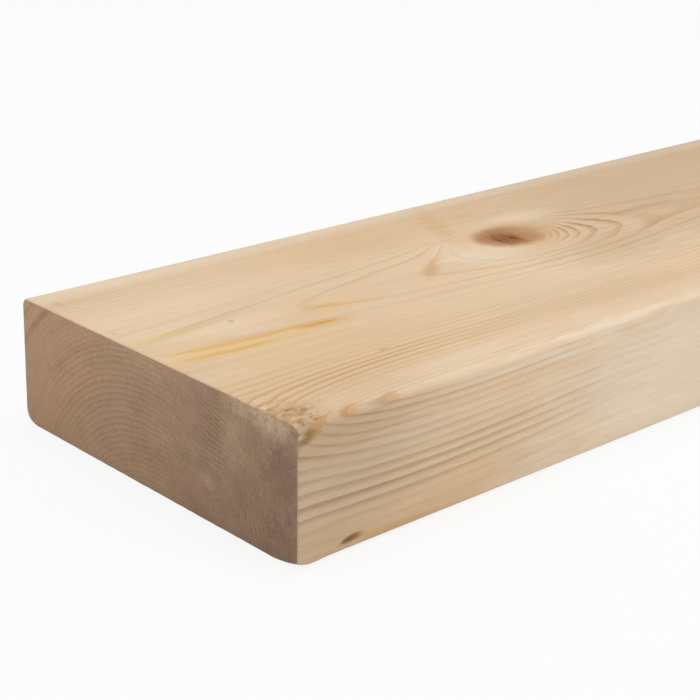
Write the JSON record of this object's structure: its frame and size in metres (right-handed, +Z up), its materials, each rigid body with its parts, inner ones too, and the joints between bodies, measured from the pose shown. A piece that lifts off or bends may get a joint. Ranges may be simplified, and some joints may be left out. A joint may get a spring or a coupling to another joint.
{
  "type": "timber plank",
  "caption": "Planed softwood plank of rectangular section, with rounded long arrises and square-sawn ends, for framing and carpentry.",
  "frame": {"origin": "centre of the underside, the broad face that the plank lies on", "axes": "+X along the grain and the length, +Y across the width, +Z up through the thickness"},
  "size_m": [1.8, 0.145, 0.045],
  "materials": {
    "planed_softwood": "planed, untreated, with sawn end grain"
  },
  "bodies": {
    "root": {"plank": "planed_softwood"}
  },
  "joints": []
}
